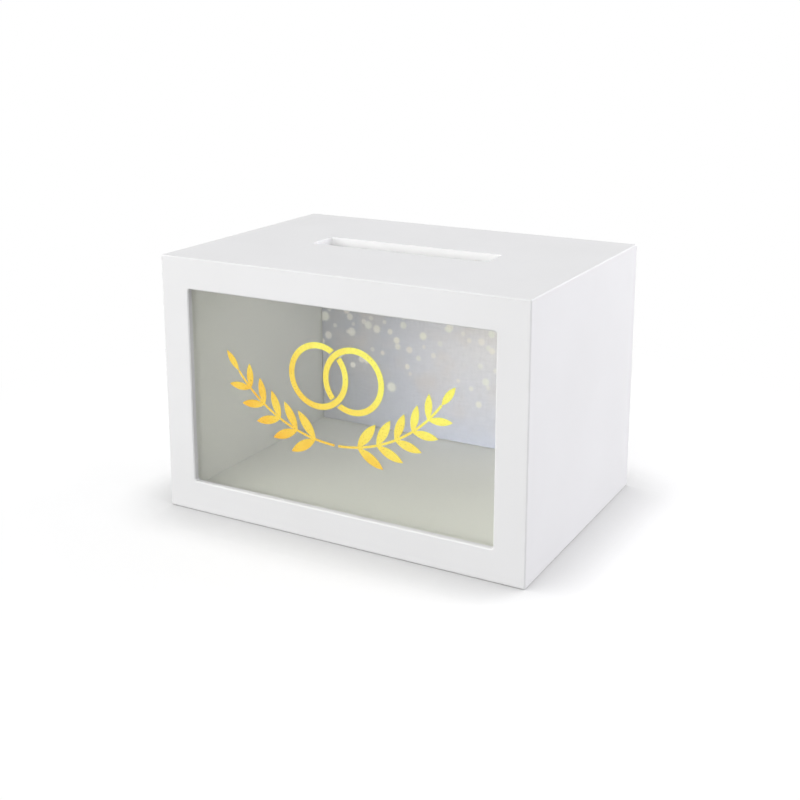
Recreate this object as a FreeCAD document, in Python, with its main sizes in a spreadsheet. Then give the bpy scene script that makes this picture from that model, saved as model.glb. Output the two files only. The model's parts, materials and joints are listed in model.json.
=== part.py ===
"""A wedding card box: a white board box with a card slot on top, a glazed front frame with a gold
foil ornament on the glass, and a printed rear door on two butt hinges that lets the cards out.

Millimetres, +Z up, the glazed front faces -Y. The origin is the middle of the box's footprint,
on the surface that it stands on.
"""

import FreeCAD, Part
import math
import os

import Sketcher

Vector = FreeCAD.Vector
doc = FreeCAD.newDocument("card_box")

# Driving sizes

SIZES = {
    # the whole box
    "box_width": 300,
    "box_depth": 210,
    "box_height": 200,
    "board": 12,
    "edge_ease": 0.8,
    # front frame and glazing
    "frame_board": 9,
    "side_rail": 24,
    "top_rail": 24,
    "bottom_rail": 24,
    "window_corner": 2,
    "glass_thickness": 3,
    "glass_overlap": 4,
    "glass_play": 0.5,
    "tape_thickness": 1.5,
    # card slot
    "slot_length": 150,
    "slot_width": 30,
    "slot_setback": 92,
    "slot_corner": 3,
    # rear door and its print
    "door_thickness": 6,
    "door_gap": 1,
    "notch_radius": 10,
    "print_thickness": 0.5,
    # butt hinges
    "hinge_length": 25,
    "hinge_inset": 22,
    "leaf_width": 10,
    "leaf_thickness": 1,
    "barrel_radius": 1.7,
    "barrel_lift": 0.3,
    "knuckle_gap": 0.3,
    "pin_radius": 0.8,
    "pin_clearance": 0.05,
    # hinge screws
    "screw_radius": 1,
    "screw_head_radius": 1.9,
    "screw_play": 0.03,
    "screw_pitch": 13,
    "screw_reach": 6,
    "side_screw_length": 10,
    "door_screw_length": 5.5,
    "screw_slot_width": 0.6,
    "screw_slot_depth": 0.5,
    # door stops, magnets and strike discs
    "stop_width": 16,
    "stop_depth": 12,
    "stop_height": 26,
    "stop_inset": 16,
    "stop_play": 0.2,
    "magnet_radius": 4,
    "magnet_thickness": 3,
    "magnet_play": 0.05,
    "strike_radius": 4,
    "strike_thickness": 1,
    # foil ornament
    "foil_thickness": 0.1,
    "ring_radius": 25,
    "ring_band": 4.6,
    "ring_spacing": 29,
    "ring_lift": 24,
    "ring_relief": 1.1,
    "spray_length": 97,
    "spray_start": 1.5,
    "spray_drop": 26,
    "spray_tilt": 2,
    "spray_turn": 52,
    "stem_band": 1.8,
    "leaf_pairs": 5,
    "blade_length": 26,
    "blade_breadth": 8,
    "blade_angle": 42,
    "tip_share": 0.68,
}

sheet = doc.addObject("Spreadsheet::Sheet", "sizes")
for row, (alias, value) in enumerate(SIZES.items(), start=1):
    sheet.set(f"A{row}", alias)
    sheet.set(f"B{row}", str(value))
    sheet.setAlias(f"B{row}", alias)
doc.recompute()


def value_of(expression):
    """The number that an expression on the sheet has now."""
    return float(sheet.evalExpression(str(expression)))


# Places that several pieces share, as expressions on the sheet

HALF_WIDTH = "sizes.box_width / 2"
INNER_HALF = f"({HALF_WIDTH} - sizes.board)"
TOP = "sizes.box_height"
CEILING = f"({TOP} - sizes.board)"
FLOOR = "sizes.board"
FRONT = "(-sizes.box_depth / 2)"
BACK = "(sizes.box_depth / 2)"
CARCASS_FRONT = f"({FRONT} + sizes.frame_board)"
TAPE_FRONT = f"({CARCASS_FRONT} - sizes.tape_thickness)"
GLASS_FRONT = f"({TAPE_FRONT} - sizes.glass_thickness)"
GLASS_HALF = f"({INNER_HALF} + sizes.glass_overlap)"
GLASS_LOW = f"({FLOOR} - sizes.glass_overlap)"
GLASS_HIGH = f"({CEILING} + sizes.glass_overlap)"
WINDOW_HALF = f"({HALF_WIDTH} - sizes.side_rail)"
WINDOW_LOW = "sizes.bottom_rail"
WINDOW_HIGH = f"({TOP} - sizes.top_rail)"
DOOR_HALF = f"({INNER_HALF} - sizes.door_gap)"
DOOR_LOW = f"({FLOOR} + sizes.door_gap)"
DOOR_HIGH = f"({CEILING} - sizes.door_gap)"
DOOR_MIDDLE = f"(({DOOR_LOW} + {DOOR_HIGH}) / 2)"
DOOR_FRONT = f"({BACK} - sizes.door_thickness)"
PRINT_FRONT = f"({DOOR_FRONT} - sizes.print_thickness)"
AXIS_X = f"(-({INNER_HALF} + {DOOR_HALF}) / 2)"
AXIS_Y = f"({BACK} + sizes.barrel_lift + sizes.barrel_radius)"
LEAF_BACK = f"({BACK} + sizes.leaf_thickness)"
SWEEP = "(sizes.barrel_radius + sizes.knuckle_gap)"
STOP_BACK = f"({PRINT_FRONT} - sizes.stop_play)"
STOP_FRONT = f"({STOP_BACK} - sizes.stop_depth)"
STOP_SIDE = f"({INNER_HALF} - sizes.stop_width)"
MAGNET_X = f"({INNER_HALF} - sizes.stop_width / 2)"

HINGE_LOWS = {
    "upper": f"({DOOR_HIGH} - sizes.hinge_inset - sizes.hinge_length)",
    "lower": f"({DOOR_LOW} + sizes.hinge_inset)",
}
STOP_LOWS = {
    "upper": f"({CEILING} - sizes.stop_inset - sizes.stop_height)",
    "lower": f"({FLOOR} + sizes.stop_inset)",
}

pieces = {}


def piece(label, made):
    """Names a finished piece after the file it goes to."""
    made.Label = label
    pieces[label] = made
    return made


# Building blocks


def bind(made, **expressions):
    for name, expression in expressions.items():
        made.setExpression(name, str(expression))
    return made


def move_to(made, x, y, z):
    for axis, expression in zip("xyz", (x, y, z)):
        made.setExpression(f"Placement.Base.{axis}", str(expression))
    return made


def block(name, x, y, z):
    """A block between a low and a high expression along each axis."""
    made = doc.addObject("Part::Box", name)
    sides = [f"({high}) - ({low})" for low, high in (x, y, z)]
    bind(made, Length=sides[0], Width=sides[1], Height=sides[2])
    return move_to(made, x[0], y[0], z[0])


def upright(name, radius, x, y, low, high):
    """A round bar along Z."""
    made = doc.addObject("Part::Cylinder", name)
    bind(made, Radius=radius, Height=f"({high}) - ({low})")
    return move_to(made, x, y, low)


ALONG_Y = FreeCAD.Rotation(Vector(1, 0, 0), -90)


def crossbar(name, radius, x, z, front, back):
    """A round bar along Y."""
    made = doc.addObject("Part::Cylinder", name)
    made.Placement = FreeCAD.Placement(Vector(), ALONG_Y)
    bind(made, Radius=radius, Height=f"({back}) - ({front})")
    return move_to(made, x, front, z)


def taper(name, front_radius, back_radius, x, z, front, back):
    """A round taper along Y."""
    made = doc.addObject("Part::Cone", name)
    made.Placement = FreeCAD.Placement(Vector(), ALONG_Y)
    bind(made, Radius1=front_radius, Radius2=back_radius, Height=f"({back}) - ({front})")
    return move_to(made, x, front, z)


def join(name, *shapes):
    made = doc.addObject("Part::MultiFuse", name)
    made.Shapes = list(shapes)
    return made


def group(name, *shapes):
    made = doc.addObject("Part::Compound", name)
    made.Links = list(shapes)
    return made


def cut(name, base, *tools):
    made = doc.addObject("Part::Cut", name)
    made.Base = base
    made.Tool = tools[0] if len(tools) == 1 else join(f"{name}_tools", *tools)
    return made


def outline(body, name, plane_role, offset, corners):
    """A closed straight-sided outline on one of the body's own planes, a pair of expressions a corner."""
    sketch = body.newObject("Sketcher::SketchObject", name)
    plane = next(item for item in body.Origin.OriginFeatures if item.Role == plane_role)
    sketch.AttachmentSupport = [(plane, "")]
    sketch.MapMode = "FlatFace"
    sketch.setExpression("AttachmentOffset.Base.z", str(offset))
    points = [Vector(value_of(x), value_of(y), 0) for x, y in corners]
    following = points[1:] + points[:1]
    for start, end in zip(points, following):
        sketch.addGeometry(Part.LineSegment(start, end))
    count = len(points)
    for index in range(count):
        sketch.addConstraint(Sketcher.Constraint("Coincident", index, 2, (index + 1) % count, 1))
    for index, corner in enumerate(corners):
        for kind, expression in zip(("DistanceX", "DistanceY"), corner):
            start = value_of(expression)
            number = sketch.addConstraint(Sketcher.Constraint(kind, -1, 1, index, 1, start))
            sketch.setExpression(f"Constraints[{number}]", str(expression))
    return sketch


def rectangle(body, name, plane_role, offset, x, y):
    corners = [(x[0], y[0]), (x[1], y[0]), (x[1], y[1]), (x[0], y[1])]
    return outline(body, name, plane_role, offset, corners)


def pad(body, name, sketch, length):
    made = body.newObject("PartDesign::Pad", name)
    made.Profile = sketch
    return bind(made, Length=length)


def pocket(body, name, sketch, depth, towards_normal=False):
    made = body.newObject("PartDesign::Pocket", name)
    made.Profile = sketch
    made.Reversed = towards_normal
    return bind(made, Length=depth)


def dressed(body, name, feature, base, wanted):
    """A fillet or a chamfer on the edges of base that the test called wanted picks."""
    doc.recompute()
    edges = [f"Edge{number}" for number, edge in enumerate(base.Shape.Edges, start=1) if wanted(edge)]
    made = body.newObject(feature, name)
    made.Base = (base, edges)
    return made


def rounded(body, name, base, radius, wanted):
    return bind(dressed(body, name, "PartDesign::Fillet", base, wanted), Radius=radius)


def eased(body, name, base, size, wanted):
    return bind(dressed(body, name, "PartDesign::Chamfer", base, wanted), Size=size)


def new_body(name):
    return doc.addObject("PartDesign::Body", name)


def lies_along(edge, axis):
    """Whether an edge is straight and runs along an axis."""
    first, last = edge.Vertexes[0].Point, edge.Vertexes[-1].Point
    run = last - first
    straight = edge.Curve.TypeId == "Part::GeomLine"
    return straight and abs(abs(run.dot(axis)) - run.Length) < 1e-6


def is_between(edge, axis, low, high):
    """Whether all of an edge lies between two places along an axis."""
    small = 1e-4
    box = edge.BoundBox
    lows = Vector(box.XMin, box.YMin, box.ZMin)
    highs = Vector(box.XMax, box.YMax, box.ZMax)
    return lows.dot(axis) > low - small and highs.dot(axis) < high + small


X_AXIS, Y_AXIS, Z_AXIS = Vector(1, 0, 0), Vector(0, 1, 0), Vector(0, 0, 1)


# Carcass: four mitred boards whose outer arrises are eased across the mitre


def mitred_board(label, corners):
    """A board that runs from the back of the front frame to the rear, with the given section."""
    body = new_body(f"{label}_body")
    section = outline(body, f"{label}_section", "XZ_Plane", f"-{BACK}", corners)
    pad(body, f"{label}_run", section, f"{BACK} - {CARCASS_FRONT}")
    return body


EASE = "sizes.edge_ease"
HALF_EASE = "sizes.edge_ease / 2"


def level_board(label, outside, inward, inside):
    """The top or the bottom board: outside and inside are its faces' heights."""
    right = [
        (f"{HALF_WIDTH} - {EASE}", outside),
        (f"{HALF_WIDTH} - {HALF_EASE}", f"{outside} {inward} {HALF_EASE}"),
        (INNER_HALF, inside),
    ]
    left = [(f"-({x})", z) for x, z in reversed(right)]
    return mitred_board(label, right + left)


def side_board(label, sign):
    """The left or the right board."""
    across = [
        (HALF_WIDTH, EASE),
        (HALF_WIDTH, f"{TOP} - {EASE}"),
        (f"{HALF_WIDTH} - {HALF_EASE}", f"{TOP} - {HALF_EASE}"),
        (INNER_HALF, CEILING),
        (INNER_HALF, FLOOR),
        (f"{HALF_WIDTH} - {HALF_EASE}", HALF_EASE),
    ]
    return mitred_board(label, [(f"{sign}({x})", z) for x, z in across])


def build_top_panel():
    body = level_board("top_panel", TOP, "-", CEILING)
    half_slot = "sizes.slot_length / 2"
    near = f"{FRONT} + sizes.slot_setback"
    far = f"{near} + sizes.slot_width"
    mouth = rectangle(body, "slot_outline", "XY_Plane", TOP, (f"-{half_slot}", half_slot), (near, far))
    slot = pocket(body, "slot", mouth, "sizes.board")
    reach = value_of(half_slot)

    def slot_corner(edge):
        return lies_along(edge, Z_AXIS) and is_between(edge, X_AXIS, -reach, reach)

    body.Tip = rounded(body, "slot_corners", slot, "sizes.slot_corner", slot_corner)
    piece("top_panel", body)


def screw_places(hinge):
    """The heights of the two screws on each leaf of a hinge."""
    middle = f"({HINGE_LOWS[hinge]} + sizes.hinge_length / 2)"
    return [f"({middle} {sign} sizes.screw_pitch / 2)" for sign in "-+"]


SCREW_X = {"side": f"({AXIS_X} - sizes.screw_reach)", "door": f"({AXIS_X} + sizes.screw_reach)"}


def pilot_holes(leaf):
    """Round holes in the board under a leaf, one for each of its screws."""
    radius = "sizes.screw_radius + sizes.screw_play"
    deep = f"{LEAF_BACK} - sizes.{leaf}_screw_length - sizes.screw_play"
    holes = []
    for hinge in HINGE_LOWS:
        for number, height in enumerate(screw_places(hinge), start=1):
            name = f"{leaf}_{hinge}_pilot_{number}"
            holes.append(crossbar(name, radius, SCREW_X[leaf], height, deep, LEAF_BACK))
    return holes


def build_carcass():
    build_top_panel()
    piece("bottom_panel", level_board("bottom_panel", "0", "+", FLOOR))
    piece("right_side_panel", side_board("right_side_panel", "+"))
    blank = side_board("left_side_panel", "-")
    piece("left_side_panel", cut("left_side_drilled", blank, *pilot_holes("side")))


# Front frame: one board with a rounded window and a rebate for the glass behind it


def build_front_frame():
    body = new_body("front_frame_body")
    right = [
        (f"{HALF_WIDTH} - {EASE}", "0"),
        (HALF_WIDTH, EASE),
        (HALF_WIDTH, f"{TOP} - {EASE}"),
        (f"{HALF_WIDTH} - {EASE}", TOP),
    ]
    left = [(f"-({x})", z) for x, z in reversed(right)]
    edge = outline(body, "frame_outline", "XZ_Plane", f"-{CARCASS_FRONT}", right + left)
    pad(body, "frame_board", edge, "sizes.frame_board")

    across = (f"-{WINDOW_HALF}", WINDOW_HALF)
    opening = rectangle(
        body, "window_outline", "XZ_Plane", f"-{FRONT}", across, (WINDOW_LOW, WINDOW_HIGH)
    )
    window = pocket(body, "window", opening, "sizes.frame_board")
    half = value_of(WINDOW_HALF)

    def window_corner(edge):
        return lies_along(edge, Y_AXIS) and is_between(edge, X_AXIS, -half, half)

    corners = rounded(body, "window_corners", window, "sizes.window_corner", window_corner)

    rebate_half = f"({GLASS_HALF} + sizes.glass_play)"
    seat = rectangle(
        body,
        "rebate_outline",
        "XZ_Plane",
        f"-{CARCASS_FRONT}",
        (f"-{rebate_half}", rebate_half),
        (f"{GLASS_LOW} - sizes.glass_play", f"{GLASS_HIGH} + sizes.glass_play"),
    )
    depth = "sizes.glass_thickness + sizes.tape_thickness"
    rebate = pocket(body, "rebate", seat, depth, towards_normal=True)
    front = value_of(FRONT)

    def front_arris(edge):
        return is_between(edge, Y_AXIS, front, front)

    body.Tip = eased(body, "front_arrises", rebate, EASE, front_arris)
    corners.Visibility = False
    piece("front_frame", body)


def build_glazing():
    across = (f"-{GLASS_HALF}", GLASS_HALF)
    up = (GLASS_LOW, GLASS_HIGH)
    piece("glass_pane", block("glass_pane", across, (GLASS_FRONT, TAPE_FRONT), up))
    thickness = (TAPE_FRONT, CARCASS_FRONT)
    sheet_of_tape = block("tape_outside", across, thickness, up)
    middle = block("tape_inside", (f"-{INNER_HALF}", INNER_HALF), thickness, (FLOOR, CEILING))
    piece("glazing_tape", cut("glazing_tape", sheet_of_tape, middle))


# Foil ornament: two linked rings above a pair of leafy sprays, mirrored about the middle of the glass


def foil(face):
    """A flat shape in the plane of the glass, as thick as the foil."""
    return face.extrude(Vector(0, -value_of("sizes.foil_thickness"), 0))


def foil_within(edges):
    """Foil inside a closed run of edges drawn in the plane of the glass."""
    return foil(Part.Face(Part.Wire(Part.__sortEdges__(edges))))


def band(centre, outside, width):
    """A flat ring."""
    circles = [Part.makeCircle(radius, centre, Y_AXIS) for radius in (outside, outside - width)]
    disc, hole = (foil(Part.Face(Part.Wire(circle))) for circle in circles)
    return disc.cut(hole)


def linked_rings(middle):
    """Two rings, each passing in front of the other once."""
    radius, width = value_of("sizes.ring_radius"), value_of("sizes.ring_band")
    relief = value_of("sizes.ring_relief")
    half_spacing = value_of("sizes.ring_spacing / 2")
    centres = [middle + Vector(sign * half_spacing, 0, 0) for sign in (-1, 1)]
    rings = []
    for own, other, above in ((0, 1, 1), (1, 0, -1)):
        ring = band(centres[own], radius, width)
        passing = band(centres[other], radius + relief, width + 2 * relief)
        low = middle.z if above > 0 else middle.z - 2 * radius
        side = 4 * radius
        half = Part.makeBox(side, 1, 2 * radius, Vector(middle.x - side / 2, middle.y - 0.5, low))
        rings.append(ring.cut(passing.common(half)))
    return rings


def blade(base, direction, length, breadth):
    """A pointed leaf between two arcs, from base along a direction."""
    angle = math.radians(direction)
    along = Vector(math.cos(angle), 0, math.sin(angle))
    across = Vector(-along.z, 0, along.x)
    tip = base + along * length
    middle = base + along * (length / 2)
    sides = [middle + across * (sign * breadth / 2) for sign in (-1, 1)]
    return foil_within([Part.Arc(base, side, tip).toShape() for side in sides])


def spray(origin):
    """The right-hand spray: a bowed stem with leaves in pairs and one at its tip."""
    length, turn = value_of("sizes.spray_length"), value_of("sizes.spray_turn")
    tilt, width = value_of("sizes.spray_tilt"), value_of("sizes.stem_band")
    bow = length / math.radians(turn)
    start = math.radians(tilt)
    hub = origin + Vector(-math.sin(start), 0, math.cos(start)) * bow

    def on_stem(share, offset=0.0):
        heading = start + math.radians(turn) * share
        return hub + Vector(math.sin(heading), 0, -math.cos(heading)) * (bow + offset)

    edges = []
    for offset in (-width / 2, width / 2):
        edges.append(Part.Arc(*(on_stem(share, offset) for share in (0, 0.5, 1))).toShape())
    for share in (0, 1):
        edges.append(Part.makeLine(on_stem(share, -width / 2), on_stem(share, width / 2)))
    stem = foil_within(edges)

    pairs = int(value_of("sizes.leaf_pairs"))
    long, broad = value_of("sizes.blade_length"), value_of("sizes.blade_breadth")
    splay, least = value_of("sizes.blade_angle"), value_of("sizes.tip_share")
    leaves = [blade(on_stem(1), tilt + turn, long * least, broad * least)]
    for number in range(1, pairs + 1):
        share = number / (pairs + 1)
        shrink = 1 + (least - 1) * share
        for side in (-1, 1):
            heading = tilt + turn * share + side * splay
            leaves.append(blade(on_stem(share), heading, long * shrink, broad * shrink))
    return stem.multiFuse(leaves).removeSplitter()


def build_foil():
    height = value_of(f"({WINDOW_LOW} + {WINDOW_HIGH}) / 2")
    centre = Vector(0, value_of(GLASS_FRONT), height)
    start = centre + Vector(value_of("sizes.spray_start"), 0, -value_of("sizes.spray_drop"))
    right = spray(start)
    left = right.mirror(centre, X_AXIS)
    rings = linked_rings(centre + Vector(0, 0, value_of("sizes.ring_lift")))
    made = doc.addObject("Part::Feature", "foil_ornament")
    made.Shape = Part.makeCompound([right, left, *rings])
    piece("foil_ornament", made)


# Rear door: an inset board with a finger notch, faced inside with the printed backdrop


def strike_heights():
    return {end: f"({low} + sizes.stop_height / 2)" for end, low in STOP_LOWS.items()}


def door_sheet(name, front, back):
    """The door's outline with its finger notch, between two places along Y."""
    across, up = (f"-{DOOR_HALF}", DOOR_HALF), (DOOR_LOW, DOOR_HIGH)
    board = block(f"{name}_board", across, (front, back), up)
    notch = crossbar(f"{name}_notch", "sizes.notch_radius", DOOR_HALF, DOOR_MIDDLE, front, back)
    return cut(f"{name}_notched", board, notch)


def build_door():
    seats = []
    strikes = []
    bottom = f"{DOOR_FRONT} + sizes.strike_thickness"
    for end, height in strike_heights().items():
        wide = "sizes.strike_radius + sizes.magnet_play"
        seats.append(crossbar(f"{end}_strike_seat", wide, MAGNET_X, height, DOOR_FRONT, bottom))
        disc = crossbar(f"{end}_strike", "sizes.strike_radius", MAGNET_X, height, DOOR_FRONT, bottom)
        strikes.append(disc)
    board = door_sheet("door", DOOR_FRONT, BACK)
    piece("rear_door", cut("rear_door", board, *seats, *pilot_holes("door")))
    piece("strike_discs", group("strike_discs", *strikes))
    piece("backdrop_print", door_sheet("print", PRINT_FRONT, DOOR_FRONT))


def build_stops():
    magnets = []
    depth = f"{STOP_BACK} - sizes.magnet_thickness"
    for end, height in strike_heights().items():
        low = STOP_LOWS[end]
        up = (low, f"{low} + sizes.stop_height")
        body = block(f"{end}_stop_body", (STOP_SIDE, INNER_HALF), (STOP_FRONT, STOP_BACK), up)
        wide = "sizes.magnet_radius + sizes.magnet_play"
        seat = crossbar(f"{end}_magnet_seat", wide, MAGNET_X, height, depth, STOP_BACK)
        piece(f"{end}_door_stop", cut(f"{end}_door_stop", body, seat))
        magnets.append(
            crossbar(f"{end}_magnet", "sizes.magnet_radius", MAGNET_X, height, depth, STOP_BACK)
        )
    piece("stop_magnets", group("stop_magnets", *magnets))


# Butt hinges: flat leaves with three knuckles round a pin, screwed down with countersunk screws


def countersinks(name, leaf, hinge):
    """The screw holes of a leaf, which taper all the way through it."""
    small = "sizes.screw_radius + sizes.screw_play"
    wide = "sizes.screw_head_radius + sizes.screw_play"
    sinks = []
    for number, height in enumerate(screw_places(hinge), start=1):
        label = f"{name}_sink_{number}"
        sinks.append(taper(label, small, wide, SCREW_X[leaf], height, BACK, LEAF_BACK))
    return sinks


def hinge_leaf(leaf, hinge):
    """One leaf: the side leaf keeps the outer knuckles, the door leaf the middle one."""
    name = f"{hinge}_hinge_{leaf}_leaf"
    low = HINGE_LOWS[hinge]
    high = f"({low} + sizes.hinge_length)"
    third = "sizes.hinge_length / 3"
    spread = "sizes.knuckle_gap / 2"
    outer_edge = f"{AXIS_X} - sizes.leaf_width" if leaf == "side" else AXIS_X
    inner_edge = AXIS_X if leaf == "side" else f"{AXIS_X} + sizes.leaf_width"
    plate = block(f"{name}_plate", (outer_edge, inner_edge), (BACK, LEAF_BACK), (low, high))
    barrel = upright(f"{name}_barrel", "sizes.barrel_radius", AXIS_X, AXIS_Y, low, high)
    around = (f"{AXIS_X} - {SWEEP}", f"{AXIS_X} + {SWEEP}")
    through = (BACK, f"{AXIS_Y} + {SWEEP}")
    if leaf == "side":
        gaps = [(f"{low} + {third} - {spread}", f"{high} - {third} + {spread}")]
    else:
        gaps = [(low, f"{low} + {third} + {spread}"), (f"{high} - {third} - {spread}", high)]
    tools = [
        block(f"{name}_gap_{number}", around, through, gap) for number, gap in enumerate(gaps, start=1)
    ]
    bore_radius = "sizes.pin_radius + sizes.pin_clearance"
    tools.append(upright(f"{name}_bore", bore_radius, AXIS_X, AXIS_Y, low, high))
    tools += countersinks(name, leaf, hinge)
    piece(name, cut(name, join(f"{name}_blank", plate, barrel), *tools))


def screw(name, leaf, height):
    """A slotted countersunk wood screw, its head level with the leaf."""
    x = SCREW_X[leaf]
    end = f"{LEAF_BACK} - sizes.{leaf}_screw_length"
    radius = "sizes.screw_radius"
    head = taper(f"{name}_head", radius, "sizes.screw_head_radius", x, height, BACK, LEAF_BACK)
    shank = crossbar(f"{name}_shank", radius, x, height, end, BACK)
    reach, half = "sizes.screw_head_radius", "sizes.screw_slot_width / 2"
    slot = block(
        f"{name}_slot",
        (f"{x} - {half}", f"{x} + {half}"),
        (f"{LEAF_BACK} - sizes.screw_slot_depth", LEAF_BACK),
        (f"{height} - {reach}", f"{height} + {reach}"),
    )
    return cut(name, join(f"{name}_blank", head, shank), slot)


def build_hinges():
    for hinge, low in HINGE_LOWS.items():
        for leaf in ("side", "door"):
            hinge_leaf(leaf, hinge)
        high = f"({low} + sizes.hinge_length)"
        pin = upright(f"{hinge}_hinge_pin", "sizes.pin_radius", AXIS_X, AXIS_Y, low, high)
        piece(f"{hinge}_hinge_pin", pin)
    for leaf in ("side", "door"):
        screws = [
            screw(f"{leaf}_{hinge}_screw_{number}", leaf, height)
            for hinge in HINGE_LOWS
            for number, height in enumerate(screw_places(hinge), start=1)
        ]
        piece(f"{leaf}_leaf_screws", group(f"{leaf}_leaf_screws", *screws))


build_carcass()
build_front_frame()
build_glazing()
build_foil()
build_door()
build_stops()
build_hinges()
doc.recompute()

# Nothing is written unless every object of the document came out whole

for made in doc.Objects:
    if "Invalid" in made.State or "Error" in made.State:
        raise RuntimeError(f"{made.Label} failed: {made.State}")
for label, made in pieces.items():
    if made.Shape.isNull() or not made.Shape.isValid():
        raise RuntimeError(f"{label} has no valid shape")

os.makedirs("parts", exist_ok=True)
for label, made in pieces.items():
    made.Shape.exportStep(f"parts/{label}.step")
    box = made.Shape.BoundBox
    print(
        f"{label}: {len(made.Shape.Solids)} solids, {made.Shape.Volume:.1f} mm3,"
        f" X {box.XMin:.2f}..{box.XMax:.2f} Y {box.YMin:.2f}..{box.YMax:.2f}"
        f" Z {box.ZMin:.2f}..{box.ZMax:.2f}"
    )
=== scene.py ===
"""Looks of the card box: materials for its pieces, the floor, the light and the camera."""
import json
import math

import bmesh
import bpy
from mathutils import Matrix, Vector


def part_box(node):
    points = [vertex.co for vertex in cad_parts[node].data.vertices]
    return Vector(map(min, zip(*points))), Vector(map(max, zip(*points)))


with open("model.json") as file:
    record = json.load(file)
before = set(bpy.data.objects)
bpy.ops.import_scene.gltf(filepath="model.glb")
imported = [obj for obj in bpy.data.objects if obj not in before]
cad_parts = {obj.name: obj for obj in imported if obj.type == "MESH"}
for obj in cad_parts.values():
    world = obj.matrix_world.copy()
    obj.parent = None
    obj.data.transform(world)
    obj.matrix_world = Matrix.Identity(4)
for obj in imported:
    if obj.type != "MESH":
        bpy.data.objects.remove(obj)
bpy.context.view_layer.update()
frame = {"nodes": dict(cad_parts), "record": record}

MM = 0.001
BOX_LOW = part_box("front_frame")[0]
BOX_HIGH = Vector((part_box("front_frame")[1].x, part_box("rear_door")[1].y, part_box("top_panel")[1].z))
WHITE = (1.0, 1.0, 1.0)
# Most of a noise texture's values lie between these two
NOISE_LOW = 0.3
NOISE_HIGH = 0.7
# Specular level of the paint and the print, which shine less than bare plastic
SOFT_GLOSS = 0.35


# Node helpers


def new_material(name):
    material = bpy.data.materials.new(name)
    material.use_nodes = True
    tree = material.node_tree
    return material, tree, tree.nodes["Principled BSDF"]


def plug(tree, socket, value):
    """Links a node's output to the socket, or sets the socket to a plain value."""
    if isinstance(value, bpy.types.NodeSocket):
        tree.links.new(value, socket)
    elif socket.type == "RGBA" and len(value) == 3:
        socket.default_value = (*value, 1.0)
    else:
        socket.default_value = value


def add(tree, kind, inputs=None, **settings):
    made = tree.nodes.new("ShaderNode" + kind)
    for name, value in settings.items():
        setattr(made, name, value)
    for key, value in (inputs or {}).items():
        plug(tree, made.inputs[key], value)
    return made


def math_node(tree, operation, first, second=0.0):
    return add(tree, "Math", {0: first, 1: second}, operation=operation).outputs[0]


def product(tree, first, second):
    return math_node(tree, "MULTIPLY", first, second)


def remap(tree, value, low, high, to_low=0.0, to_high=1.0, smooth=False):
    inputs = {"Value": value, "From Min": low, "From Max": high, "To Min": to_low, "To Max": to_high}
    kind = "SMOOTHSTEP" if smooth else "LINEAR"
    return add(tree, "MapRange", inputs, interpolation_type=kind).outputs["Result"]


def spread(tree, noise_value, to_low=0.0, to_high=1.0):
    """Takes the usual range of a noise texture to the range given."""
    return remap(tree, noise_value, NOISE_LOW, NOISE_HIGH, to_low, to_high)


def blend_colours(tree, factor, first, second):
    made = add(tree, "Mix", data_type="RGBA")
    plug(tree, made.inputs["Factor"], factor)
    plug(tree, made.inputs[6], first)
    plug(tree, made.inputs[7], second)
    return made.outputs[2]


def mix_shaders(tree, factor, first, second):
    return add(tree, "MixShader", {0: factor, 1: first.outputs[0], 2: second.outputs[0]})


def show(tree, shader):
    tree.links.new(shader.outputs[0], tree.nodes["Material Output"].inputs["Surface"])


def place(tree, stretch=(1.0, 1.0, 1.0), shift=(0.0, 0.0, 0.0)):
    """The point on the piece in metres, in the box's own frame, stretched and shifted."""
    source = add(tree, "TexCoord").outputs["Object"]
    return add(tree, "Mapping", {"Vector": source, "Scale": stretch, "Location": shift}).outputs[0]


def axes_of(tree, vector):
    return add(tree, "SeparateXYZ", {"Vector": vector}).outputs


def noise(tree, vector, feature, detail=2.0):
    """Noise whose features are about that many metres across."""
    inputs = {"Vector": vector, "Scale": 1.0 / feature, "Detail": detail}
    return add(tree, "TexNoise", inputs).outputs[0]


def bump(tree, height, strength, depth):
    inputs = {"Height": height, "Strength": strength, "Distance": depth}
    return add(tree, "Bump", inputs).outputs["Normal"]


# White paint


def edge_mask(tree):
    """1 along the outer edges of the box, where hands wear the paint and where shade is painted as darker
    paint, and 0 elsewhere.
    """
    # Where the darker edge begins and where it is full, for wear and painted shade
    wear_and_shade_begins = -3.5 * MM
    wear_and_shade_is_full = -0.5 * MM
    middle = (BOX_LOW + BOX_HIGH) / 2
    half = (BOX_HIGH - BOX_LOW) / 2
    centred = axes_of(tree, place(tree, shift=tuple(-middle)))
    depth = []
    for axis in range(3):
        size = math_node(tree, "ABSOLUTE", centred[axis])
        depth.append(math_node(tree, "SUBTRACT", size, half[axis]))
    lower = math_node(tree, "MINIMUM", depth[0], depth[1])
    upper = math_node(tree, "MAXIMUM", depth[0], depth[1])
    # An edge is near two faces, so the second of the three depths tells how near it is
    second = math_node(tree, "MAXIMUM", lower, math_node(tree, "MINIMUM", upper, depth[2]))
    return remap(tree, second, wear_and_shade_begins, wear_and_shade_is_full, smooth=True)


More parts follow.
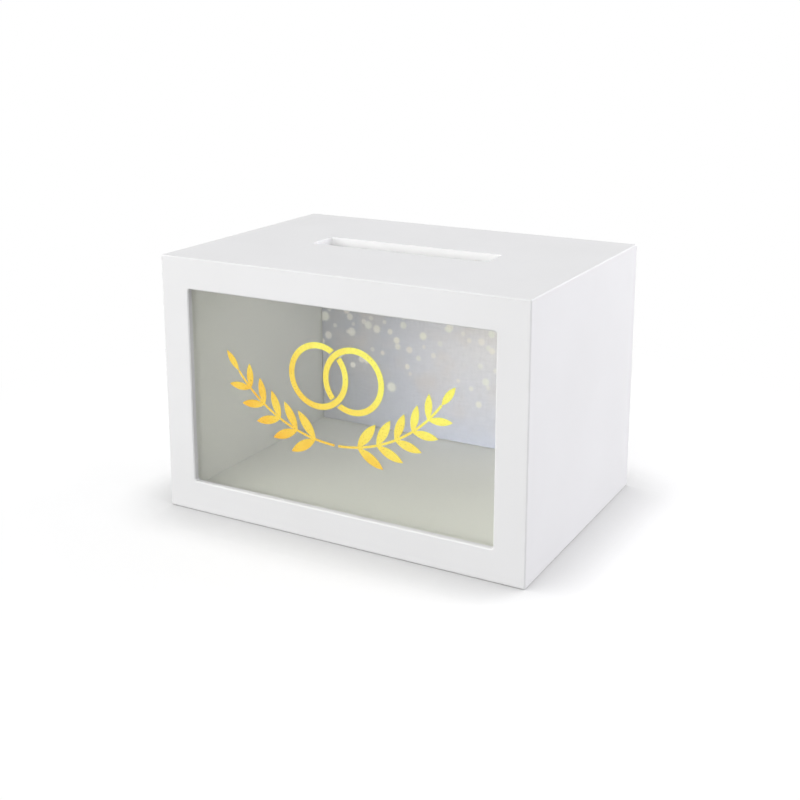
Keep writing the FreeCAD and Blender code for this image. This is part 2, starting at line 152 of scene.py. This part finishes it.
def white_paint():
    """Rolled satin paint: a faint mottle, orange peel, and edges darkened partly by wear and partly by
    painted shade.
    """
    pale = (0.865, 0.865, 0.866)
    paler = (0.885, 0.885, 0.889)
    # Edge colour: partly wear and partly painted shade, as edges catch less light
    worn_and_shaded_edge = (0.83, 0.825, 0.81)
    edge_wear_and_shade_share = 0.35
    rubbed_polish = 0.14
    satin_low = 0.48
    satin_high = 0.6
    peel_share = 0.5
    material, tree, shader = new_material("white_paint")
    spot = place(tree)
    mottle = spread(tree, noise(tree, spot, 90 * MM, 3.0))
    plain = blend_colours(tree, mottle, pale, paler)
    patches = remap(tree, noise(tree, spot, 9 * MM, 4.0), 0.35, NOISE_HIGH)
    # Darker edges: real wear with painted shade mixed in
    edge_wear_and_shade = product(tree, edge_mask(tree), patches)
    edge_wear_and_shade_amount = product(tree, edge_wear_and_shade, edge_wear_and_shade_share)
    plug(tree, shader.inputs["Base Color"], blend_colours(tree, edge_wear_and_shade_amount, plain, worn_and_shaded_edge))
    satin = spread(tree, noise(tree, spot, 26 * MM, 3.0), satin_low, satin_high)
    rough = math_node(tree, "SUBTRACT", satin, product(tree, edge_wear_and_shade, rubbed_polish))
    plug(tree, shader.inputs["Roughness"], rough)
    peel = noise(tree, spot, 1.3 * MM)
    roller = noise(tree, spot, 8 * MM)
    height = math_node(tree, "ADD", product(tree, peel, peel_share), roller)
    plug(tree, shader.inputs["Normal"], bump(tree, height, 0.12, 0.15 * MM))
    shader.inputs["Specular IOR Level"].default_value = SOFT_GLOSS
    return material


# Glass and foil


def clear_glass():
    """Float glass with faint wiping marks.

    Lamp light passes straight through, and half of the light that bounces about inside the box does,
    so that the inside is as bright as behind real glass.
    """
    tint_low = (0.966, 0.976, 0.875)
    tint_high = (0.976, 0.986, 0.89)
    straight_through = (0.96, 0.965, 0.95)
    wiped_roughness = 0.03
    material, tree, shader = new_material("clear_glass")
    wiped = noise(tree, place(tree, stretch=(1.0, 1.0, 3.0)), 40 * MM, 3.0)
    plug(tree, shader.inputs["Base Color"], blend_colours(tree, wiped, tint_low, tint_high))
    plug(tree, shader.inputs["Roughness"], remap(tree, wiped, 0.35, 0.75, 0.0, wiped_roughness))
    waves = noise(tree, place(tree), 70 * MM, 1.0)
    plug(tree, shader.inputs["Normal"], bump(tree, waves, 0.02, 0.1 * MM))
    shader.inputs["Transmission Weight"].default_value = 1.0
    shader.inputs["IOR"].default_value = 1.5
    clear = add(tree, "BsdfTransparent", {"Color": straight_through})
    path = add(tree, "LightPath").outputs
    lit = mix_shaders(tree, path["Is Shadow Ray"], shader, clear)
    stray = mix_shaders(tree, 0.5, shader, clear)
    show(tree, mix_shaders(tree, path["Is Diffuse Ray"], lit, stray))
    return material


def gold_foil():
    """Metallised foil that runs from amber at the lower left to yellow at the upper right."""
    amber = (0.93, 0.48, 0.05, 1.0)
    yellow = (0.985, 0.93, 0.175, 1.0)
    sideways_share = 0.55
    upward_share = 0.45
    cloudiness = 0.12
    material, tree, shader = new_material("gold_foil")
    low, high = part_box("foil_ornament")
    spot = place(tree)
    parts = axes_of(tree, spot)
    across = product(tree, remap(tree, parts["X"], low.x, high.x), sideways_share)
    up = product(tree, remap(tree, parts["Z"], low.z, high.z), upward_share)
    cloud = spread(tree, noise(tree, spot, 22 * MM, 3.0), -cloudiness, cloudiness)
    shade = math_node(tree, "ADD", math_node(tree, "ADD", across, up), cloud)
    ramp = add(tree, "ValToRGB", {"Fac": shade})
    first, last = ramp.color_ramp.elements
    first.position = 0.05
    first.color = amber
    last.position = 0.75
    last.color = yellow
    plug(tree, shader.inputs["Base Color"], ramp.outputs["Color"])
    # A quarter of it is matt, so that its back isn't black when seen from inside the box
    shader.inputs["Metallic"].default_value = 0.75
    grain = noise(tree, spot, 0.7 * MM, 3.0)
    plug(tree, shader.inputs["Roughness"], spread(tree, grain, 0.24, 0.4))
    crinkle = noise(tree, spot, 2.5 * MM, 3.0)
    plug(tree, shader.inputs["Normal"], bump(tree, crinkle, 0.15, 0.1 * MM))
    return material


# Printed backdrop

# Its soft lights: cell and disc radius in mm, share of the cells, strength and the grid's turn
BOKEH = (
    (14.0, 3.4, 0.8, 0.6, 0.4),
    (18.0, 4.4, 1.0, 0.9, 1.1),
    (21.0, 5.2, 1.0, 1.0, 2.0),
    (25.0, 6.2, 1.0, 1.0, 2.9),
)
WARM_LIGHT = (0.99, 0.935, 0.99)
COOL_LIGHT = (0.98, 0.98, 1.0)


def bokeh_layer(tree, under, cell, radius, share, strength, turn):
    """Soft round lights of one size over the colour under them, more of them towards the top."""
    smallest = 0.65
    core = 0.45
    dimmest = 0.7
    none_below = 0.15
    all_above = 0.8
    flat = axes_of(tree, place(tree))
    spot = add(tree, "CombineXYZ", {"X": flat["X"], "Y": flat["Z"]}).outputs[0]
    turned = add(tree, "Mapping", {"Vector": spot, "Rotation": (0.0, 0.0, turn)}).outputs[0]
    inputs = {"Vector": turned, "Scale": 1.0 / cell, "Randomness": 0.5}
    cells = add(tree, "TexVoronoi", inputs, voronoi_dimensions="2D")
    dice = add(tree, "SeparateColor", {"Color": cells.outputs["Color"]}).outputs
    size = remap(tree, dice["Blue"], 0.0, 1.0, radius * smallest / cell, radius / cell)
    inner = product(tree, size, core)
    disc = remap(tree, cells.outputs["Distance"], size, inner, smooth=True)
    # A light is on or off as a whole, by the height of its cell's own centre
    low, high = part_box("backdrop_print")
    inputs = {"Vector": cells.outputs["Position"], "Rotation": (0.0, 0.0, -turn)}
    centre = axes_of(tree, add(tree, "Mapping", inputs).outputs[0])
    height = remap(tree, centre["Y"], low.z, high.z)
    odds = remap(tree, height, none_below, all_above, 0.0, share)
    lit = math_node(tree, "LESS_THAN", dice["Red"], odds)
    glow = remap(tree, dice["Green"], 0.0, 1.0, strength * dimmest, strength)
    amount = product(tree, product(tree, disc, lit), glow)
    light = blend_colours(tree, dice["Blue"], WARM_LIGHT, COOL_LIGHT)
    return blend_colours(tree, amount, under, light)


def print_ground_with_painted_light(tree):
    """The print's blue-grey ground, hazy above; darker at the left, partly the print's own tone and partly
    painted shade of the box's left inner corner; brighter and warmer at the upper right, with painted
    light.
    """
    bottom = (0.71, 0.735, 0.95)
    top = (0.81, 0.785, 0.94)
    # Partly the print's own darker left and partly painted shade of the box's left inner corner
    left = (0.53, 0.54, 0.64)
    # Painted light on the upper right of the print, with a warm tint
    upper_right_painted_light = (0.96, 0.9, 0.955)
    haze_colour = (0.80, 0.67, 0.63)
    haze_share = 0.65
    cloudiness = 0.2
    low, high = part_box("backdrop_print")
    spot = place(tree)
    parts = axes_of(tree, spot)
    height = remap(tree, parts["Z"], low.z, high.z)
    cloud = spread(tree, noise(tree, spot, 60 * MM, 3.0), -cloudiness, cloudiness)
    tone = math_node(tree, "ADD", height, cloud)
    ground = blend_colours(tree, tone, bottom, top)
    # Painted shade over the print's own tone, darkening the left half towards the box's left inner corner
    left_painted_shade_fade = remap(tree, parts["X"], low.x, 0.0, smooth=True)
    ground = blend_colours(tree, left_painted_shade_fade, left, ground)
    # Painted light, brightest at the upper right
    warm = product(tree, height, remap(tree, parts["X"], low.x / 2, high.x / 4))
    ground = blend_colours(tree, warm, ground, upper_right_painted_light)
    wisps = remap(tree, noise(tree, spot, 28 * MM), 0.45, 0.75)
    haze = product(tree, product(tree, wisps, tone), haze_share)
    return blend_colours(tree, haze, ground, haze_colour)


def printed_card():
    """Linen-finish card, printed on its front and bare on its edges and back."""
    bare_card = (0.85, 0.84, 0.82)
    thread_stretch = 12.0
    thread_depth = 0.06
    linen_low = 0.7
    linen_high = 1.3
    material, tree, shader = new_material("printed_card")
    colour = print_ground_with_painted_light(tree)
    for cell, radius, share, strength, turn in BOKEH:
        colour = bokeh_layer(tree, colour, cell * MM, radius * MM, share, strength, turn)
    warp = noise(tree, place(tree, stretch=(thread_stretch, 1.0, 1.0)), 8 * MM)
    weft = noise(tree, place(tree, stretch=(1.0, 1.0, thread_stretch)), 8 * MM)
    linen = math_node(tree, "ADD", warp, weft)
    threads = remap(tree, linen, linen_low, linen_high, 1.0 - thread_depth, 1.0 + thread_depth)
    woven = add(tree, "Mix", data_type="RGBA", blend_type="MULTIPLY")
    woven.inputs["Factor"].default_value = 1.0
    plug(tree, woven.inputs[6], colour)
    plug(tree, woven.inputs[7], threads)
    facing = axes_of(tree, add(tree, "TexCoord").outputs["Normal"])
    printed = math_node(tree, "LESS_THAN", facing["Y"], -0.5)
    plug(tree, shader.inputs["Base Color"], blend_colours(tree, printed, bare_card, woven.outputs[2]))
    plug(tree, shader.inputs["Roughness"], remap(tree, linen, linen_low, linen_high, 0.5, 0.62))
    plug(tree, shader.inputs["Normal"], bump(tree, linen, 0.1, 0.1 * MM))
    shader.inputs["Specular IOR Level"].default_value = SOFT_GLOSS
    return material


# Metals and tape


def metal(name, dark, bright, rough_low, rough_high, stretch):
    """A plated or brushed metal: fine lines drawn out along one axis, and a broad tarnish."""
    line_share = 0.4
    tarnish_share = 0.6
    material, tree, shader = new_material(name)
    lines = noise(tree, place(tree, stretch=stretch), 1.5 * MM, 3.0)
    tarnish = noise(tree, place(tree), 6 * MM, 3.0)
    tone = math_node(tree, "ADD", product(tree, lines, line_share), product(tree, tarnish, tarnish_share))
    colour = blend_colours(tree, remap(tree, tone, 0.35, 0.65), dark, bright)
    plug(tree, shader.inputs["Base Color"], colour)
    plug(tree, shader.inputs["Roughness"], spread(tree, lines, rough_low, rough_high))
    plug(tree, shader.inputs["Normal"], bump(tree, lines, 0.1, 0.05 * MM))
    shader.inputs["Metallic"].default_value = 1.0
    return material


def foam_tape():
    """Closed-cell foam, seen as fine round cells."""
    cell = 0.6 * MM
    dark = (0.7, 0.7, 0.68)
    pale = (0.84, 0.84, 0.82)
    material, tree, shader = new_material("foam_tape")
    inputs = {"Vector": place(tree), "Scale": 1.0 / cell}
    cells = add(tree, "TexVoronoi", inputs).outputs["Distance"]
    plug(tree, shader.inputs["Base Color"], blend_colours(tree, cells, dark, pale))
    plug(tree, shader.inputs["Roughness"], remap(tree, cells, 0.0, 0.8, 0.95, 0.75))
    plug(tree, shader.inputs["Normal"], bump(tree, cells, 0.3, 0.2 * MM))
    return material


# Finish of each material slot in the record

UPRIGHT_LINES = (1.0, 1.0, 0.08)
LEVEL_LINES = (0.15, 1.0, 1.0)
NO_LINES = (1.0, 1.0, 1.0)

brass = metal("satin_brass", (0.66, 0.46, 0.2), (0.84, 0.63, 0.31), 0.24, 0.4, UPRIGHT_LINES)
polished = metal("polished_brass", (0.56, 0.38, 0.15), (0.72, 0.52, 0.24), 0.16, 0.28, NO_LINES)
nickel = metal("bright_nickel", (0.66, 0.65, 0.63), (0.8, 0.79, 0.77), 0.14, 0.26, NO_LINES)
zinc = metal("zinc_steel", (0.52, 0.53, 0.55), (0.68, 0.69, 0.71), 0.26, 0.42, LEVEL_LINES)

FINISHES = {
    "white_board": white_paint(),
    "glass": clear_glass(),
    "foam_tape": foam_tape(),
    "gold_foil": gold_foil(),
    "nickel": nickel,
    "hinge_brass": brass,
    "printed_card": printed_card(),
    "steel": zinc,
}

for row in frame["record"]["subparts"]:
    mesh = frame["nodes"][row["node"]].data
    mesh.materials.clear()
    finish = FINISHES[row["material_slot"]]
    mesh.materials.append(polished if row["node"].endswith("_screws") else finish)


# Floor and surroundings

FLOOR_RADIUS = 5.0
FLOOR_DROP = 0.1 * MM
FLOOR_BOUNCE = (0.25, 0.25, 0.25)
FLOOR_SHADED = (0.6, 0.6, 0.6)
FLOOR_LIFT = 0.5
FLOOR_FADE = (0.2, 0.5)
# Reach and steepness of the painted shadow on the floor round the box
PAINTED_SHADOW_REACH = 55 * MM
PAINTED_SHADOW_POWER = 2.1
# Level of the room's light at the horizon and overhead
ROOM_LIGHT = (0.32, 0.32)


def seen_directly(tree):
    """1 for rays sent out by the camera, a reflection or glass, and 0 for those that light the object."""
    path = add(tree, "LightPath").outputs
    seen = math_node(tree, "MAXIMUM", path["Is Camera Ray"], path["Is Glossy Ray"])
    return math_node(tree, "MAXIMUM", seen, path["Is Transmission Ray"])


def make_floor():
    """A disc that looks white, keeps the box's real shadow with a painted shadow added close round its
    foot, and throws little light back at the box.
    """
    mesh = bpy.data.meshes.new("floor")
    shape = bmesh.new()
    bmesh.ops.create_circle(shape, cap_ends=True, segments=64, radius=FLOOR_RADIUS)
    shape.to_mesh(mesh)
    shape.free()
    floor = bpy.data.objects.new("floor", mesh)
    floor.location.z = -FLOOR_DROP
    bpy.context.scene.collection.objects.link(floor)
    material, tree, shader = new_material("floor")
    tree.nodes.remove(shader)
    matt = add(tree, "BsdfDiffuse", {"Color": FLOOR_BOUNCE})
    pale = add(tree, "BsdfDiffuse", {"Color": FLOOR_SHADED})
    # Painted shadow: the floor's glow dims by ambient occlusion close round the box
    painted_shadow_occlusion = add(tree, "AmbientOcclusion", {"Distance": PAINTED_SHADOW_REACH}, samples=16)
    painted_shadow_factor = math_node(tree, "POWER", painted_shadow_occlusion.outputs["AO"], PAINTED_SHADOW_POWER)
    lift = add(tree, "Emission", {"Strength": product(tree, painted_shadow_factor, FLOOR_LIFT)})
    near = add(tree, "AddShader", {0: pale.outputs[0], 1: lift.outputs[0]})
    far = add(tree, "Emission", {"Strength": 1.0})
    distance = add(tree, "VectorMath", {0: place(tree)}, operation="LENGTH").outputs["Value"]
    away = remap(tree, distance, *FLOOR_FADE, smooth=True)
    shown = mix_shaders(tree, away, near, far)
    show(tree, mix_shaders(tree, seen_directly(tree), matt, shown))
    mesh.materials.append(material)


def make_world():
    """White where it is seen, and an even dim light on the object.

    The light is given by height, although it is even, because the renderer then samples the world as it
    samples a lamp. That leaves the inside of the box a little darker.
    """
    world = bpy.data.worlds.new("studio")
    bpy.context.scene.world = world
    world.use_nodes = True
    tree = world.node_tree
    background = tree.nodes["Background"]
    up = axes_of(tree, add(tree, "TexCoord").outputs["Generated"])["Z"]
    room = remap(tree, up, 0.0, 1.0, *ROOM_LIGHT)
    strength = remap(tree, seen_directly(tree), 0.0, 1.0, room, 1.0)
    plug(tree, background.inputs["Strength"], strength)
    plug(tree, background.inputs["Color"], WHITE)


# Lamps and camera

BOX_MIDDLE = Vector((0.0, 0.0, 0.1))
LAMP_DISTANCE = 2.4
COOL_WHITE = (0.94, 0.925, 1.0)
# Each lamp's turn and rise in degrees, width and height in metres, level and colour
LAMPS = {
    "key": (-14.0, 16.0, 3.0, 0.8, 0.63, WHITE),
    "high": (-10.0, 45.0, 2.4, 1.6, 0.08, WHITE),
    "fill": (97.0, 22.0, 2.4, 1.6, 0.43, COOL_WHITE),
    "rear": (146.0, 18.0, 1.6, 1.4, 0.62, WHITE),
    "left": (285.0, 18.0, 1.6, 1.4, 0.45, WHITE),
}
CAMERA_PLACE = (0.4405, -0.8053, 0.3832)
CAMERA_TURN = 28.86
CAMERA_RISE = 12.72
LENS_MM = 55.07
SENSOR_MM = 36.0
LENS_SHIFT = -0.15
NEAREST = 0.01
FURTHEST = 100.0


def direction(turn, rise):
    """Points away from the box, turned from its front towards its right side and raised, in degrees."""
    a = math.radians(turn)
    e = math.radians(rise)
    return Vector((math.sin(a) * math.cos(e), -math.cos(a) * math.cos(e), math.sin(e)))


def face_along(thing, heading):
    thing.rotation_mode = "QUATERNION"
    thing.rotation_quaternion = heading.to_track_quat("-Z", "Y")


def softbox(name, turn, rise, width, height, level, colour):
    """A soft lamp that gives white paint square to it that share of full white."""
    lamp = bpy.data.lights.new(name, "AREA")
    lamp.shape = "RECTANGLE"
    lamp.size = width
    lamp.size_y = height
    lamp.color = colour
    lamp.energy = level * (math.pi * LAMP_DISTANCE) ** 2
    holder = bpy.data.objects.new(name, lamp)
    holder.location = BOX_MIDDLE + direction(turn, rise) * LAMP_DISTANCE
    # The lamps aren't mirrored in the box, so its top doesn't flare when seen from across one of them
    holder.visible_glossy = False
    bpy.context.scene.collection.objects.link(holder)
    face_along(holder, -direction(turn, rise))


def make_camera():
    """The photograph's viewpoint: right of the front and a little above, with the lens shifted down."""
    lens = bpy.data.cameras.new("camera")
    lens.lens = LENS_MM
    lens.sensor_width = SENSOR_MM
    lens.shift_y = LENS_SHIFT
    lens.clip_start = NEAREST
    lens.clip_end = FURTHEST
    camera = bpy.data.objects.new("camera", lens)
    camera.location = CAMERA_PLACE
    face_along(camera, -direction(CAMERA_TURN, CAMERA_RISE))
    bpy.context.scene.collection.objects.link(camera)
    bpy.context.scene.camera = camera


make_floor()
make_world()
for lamp_name, settings in LAMPS.items():
    softbox(lamp_name, *settings)
make_camera()
bpy.context.scene.view_settings.view_transform = "Standard"
